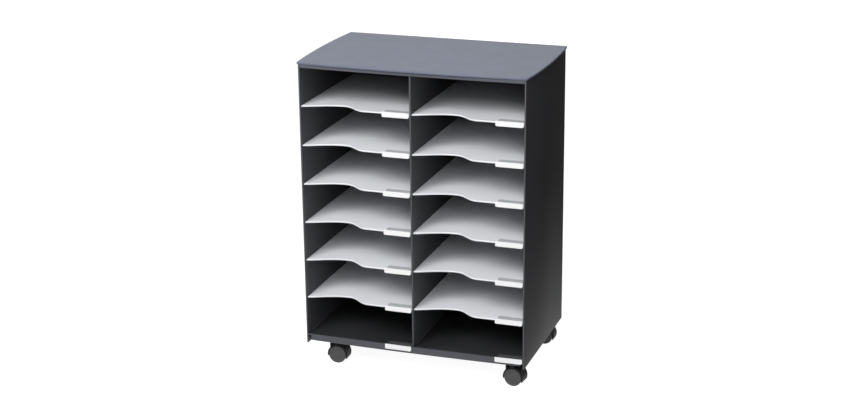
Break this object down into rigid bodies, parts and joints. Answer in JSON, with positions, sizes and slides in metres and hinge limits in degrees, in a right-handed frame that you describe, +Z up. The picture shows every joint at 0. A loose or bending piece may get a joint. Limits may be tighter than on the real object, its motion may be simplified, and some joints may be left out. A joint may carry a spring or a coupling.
{
  "type": "mobile pigeonhole cabinet",
  "caption": "Office pigeonhole cabinet on twin-wheel casters: open A4 compartments in two bays, wavy shelf fronts with label holders, and a bowed lid.",
  "frame": {"origin": "on the floor, below the middle of the whole cabinet's bounding box", "axes": "+Z up, -Y the open front, +X to the right seen from the front"},
  "size_m": [0.532, 0.33, 0.6989],
  "materials": {
    "lid_plastic": "fine-grained blue-grey",
    "anthracite_plastic": "fine-grained anthracite",
    "light_grey_plastic": "satin light grey",
    "clear_plastic": "clear, smooth",
    "socket_plastic": "satin grey",
    "caster_plastic": "fine-grained black",
    "wheel_plastic": "satin dark grey",
    "bright_steel": "bright drawn"
  },
  "bodies": {
    "cabinet": {"lid": "lid_plastic", "top_panel": "anthracite_plastic", "side_panel_left": "anthracite_plastic", "side_panel_right": "anthracite_plastic", "divider": "anthracite_plastic", "back_panel": "anthracite_plastic", "shelf_left_1": "light_grey_plastic", "shelf_left_2": "light_grey_plastic", "shelf_left_3": "light_grey_plastic", "shelf_left_4": "light_grey_plastic", "shelf_left_5": "light_grey_plastic", "shelf_left_6": "light_grey_plastic", "shelf_right_1": "light_grey_plastic", "shelf_right_2": "light_grey_plastic", "shelf_right_3": "light_grey_plastic", "shelf_right_4": "light_grey_plastic", "shelf_right_5": "light_grey_plastic", "shelf_right_6": "light_grey_plastic", "base_tray_left": "anthracite_plastic", "base_tray_right": "anthracite_plastic", "label_holder_left_1": "clear_plastic", "label_holder_left_2": "clear_plastic", "label_holder_left_3": "clear_plastic", "label_holder_left_4": "clear_plastic", "label_holder_left_5": "clear_plastic", "label_holder_left_6": "clear_plastic", "label_holder_left_7": "clear_plastic", "label_holder_right_1": "clear_plastic", "label_holder_right_2": "clear_plastic", "label_holder_right_3": "clear_plastic", "label_holder_right_4": "clear_plastic", "label_holder_right_5": "clear_plastic", "label_holder_right_6": "clear_plastic", "label_holder_right_7": "clear_plastic", "caster_front_left_socket": "socket_plastic", "caster_front_right_socket": "socket_plastic", "caster_rear_left_socket": "socket_plastic", "caster_rear_right_socket": "socket_plastic"},
    "front_left_swivel": {"caster_front_left_stem": "bright_steel", "caster_front_left_housing": "caster_plastic", "caster_front_left_axle": "bright_steel"},
    "front_left_wheel_front": {"caster_front_left_wheel_front": "wheel_plastic"},
    "front_left_wheel_rear": {"caster_front_left_wheel_rear": "wheel_plastic"},
    "front_right_swivel": {"caster_front_right_stem": "bright_steel", "caster_front_right_housing": "caster_plastic", "caster_front_right_axle": "bright_steel"},
    "front_right_wheel_front": {"caster_front_right_wheel_front": "wheel_plastic"},
    "front_right_wheel_rear": {"caster_front_right_wheel_rear": "wheel_plastic"},
    "rear_left_swivel": {"caster_rear_left_stem": "bright_steel", "caster_rear_left_housing": "caster_plastic", "caster_rear_left_axle": "bright_steel"},
    "rear_left_wheel_front": {"caster_rear_left_wheel_front": "wheel_plastic"},
    "rear_left_wheel_rear": {"caster_rear_left_wheel_rear": "wheel_plastic"},
    "rear_right_swivel": {"caster_rear_right_stem": "bright_steel", "caster_rear_right_housing": "caster_plastic", "caster_rear_right_axle": "bright_steel"},
    "rear_right_wheel_front": {"caster_rear_right_wheel_front": "wheel_plastic"},
    "rear_right_wheel_rear": {"caster_rear_right_wheel_rear": "wheel_plastic"}
  },
  "joints": [
    {"name": "front_left_swivel_turn", "type": "hinge", "parent": "cabinet", "child": "front_left_swivel", "pos_m": [-0.2083, -0.1202, 0.0566], "axis": [0, 0, 1], "continuous": true},
    {"name": "front_left_wheel_front_roll", "type": "hinge", "parent": "front_left_swivel", "child": "front_left_wheel_front", "pos_m": [-0.19041, -0.12929, 0.02], "axis": [-0.0314, 0.9995, 0], "continuous": true},
    {"name": "front_left_wheel_rear_roll", "type": "hinge", "parent": "front_left_swivel", "child": "front_left_wheel_rear", "pos_m": [-0.19101, -0.11, 0.02], "axis": [-0.0314, 0.9995, 0], "continuous": true},
    {"name": "front_right_swivel_turn", "type": "hinge", "parent": "cabinet", "child": "front_right_swivel", "pos_m": [0.2083, -0.1202, 0.0566], "axis": [0, 0, 1], "continuous": true},
    {"name": "front_right_wheel_front_roll", "type": "hinge", "parent": "front_right_swivel", "child": "front_right_wheel_front", "pos_m": [0.22467, -0.13181, 0.02], "axis": [0.1149, 0.9934, 0], "continuous": true},
    {"name": "front_right_wheel_rear_roll", "type": "hinge", "parent": "front_right_swivel", "child": "front_right_wheel_rear", "pos_m": [0.22689, -0.11264, 0.02], "axis": [0.1149, 0.9934, 0], "continuous": true},
    {"name": "rear_left_swivel_turn", "type": "hinge", "parent": "cabinet", "child": "rear_left_swivel", "pos_m": [-0.2083, 0.1302, 0.0566], "axis": [0, 0, 1], "continuous": true},
    {"name": "rear_left_wheel_front_roll", "type": "hinge", "parent": "rear_left_swivel", "child": "rear_left_wheel_front", "pos_m": [-0.19142, 0.11935, 0.02], "axis": [0.0698, 0.9976, 0], "continuous": true},
    {"name": "rear_left_wheel_rear_roll", "type": "hinge", "parent": "rear_left_swivel", "child": "rear_left_wheel_rear", "pos_m": [-0.19007, 0.1386, 0.02], "axis": [0.0698, 0.9976, 0], "continuous": true},
    {"name": "rear_right_swivel_turn", "type": "hinge", "parent": "cabinet", "child": "rear_right_swivel", "pos_m": [0.2083, 0.1302, 0.0566], "axis": [0, 0, 1], "continuous": true},
    {"name": "rear_right_wheel_front_roll", "type": "hinge", "parent": "rear_right_swivel", "child": "rear_right_wheel_front", "pos_m": [0.22581, 0.1204, 0.02], "axis": [0.0087, 1, 0], "continuous": true},
    {"name": "rear_right_wheel_rear_roll", "type": "hinge", "parent": "rear_right_swivel", "child": "rear_right_wheel_rear", "pos_m": [0.22598, 0.1397, 0.02], "axis": [0.0087, 1, 0], "continuous": true}
  ]
}
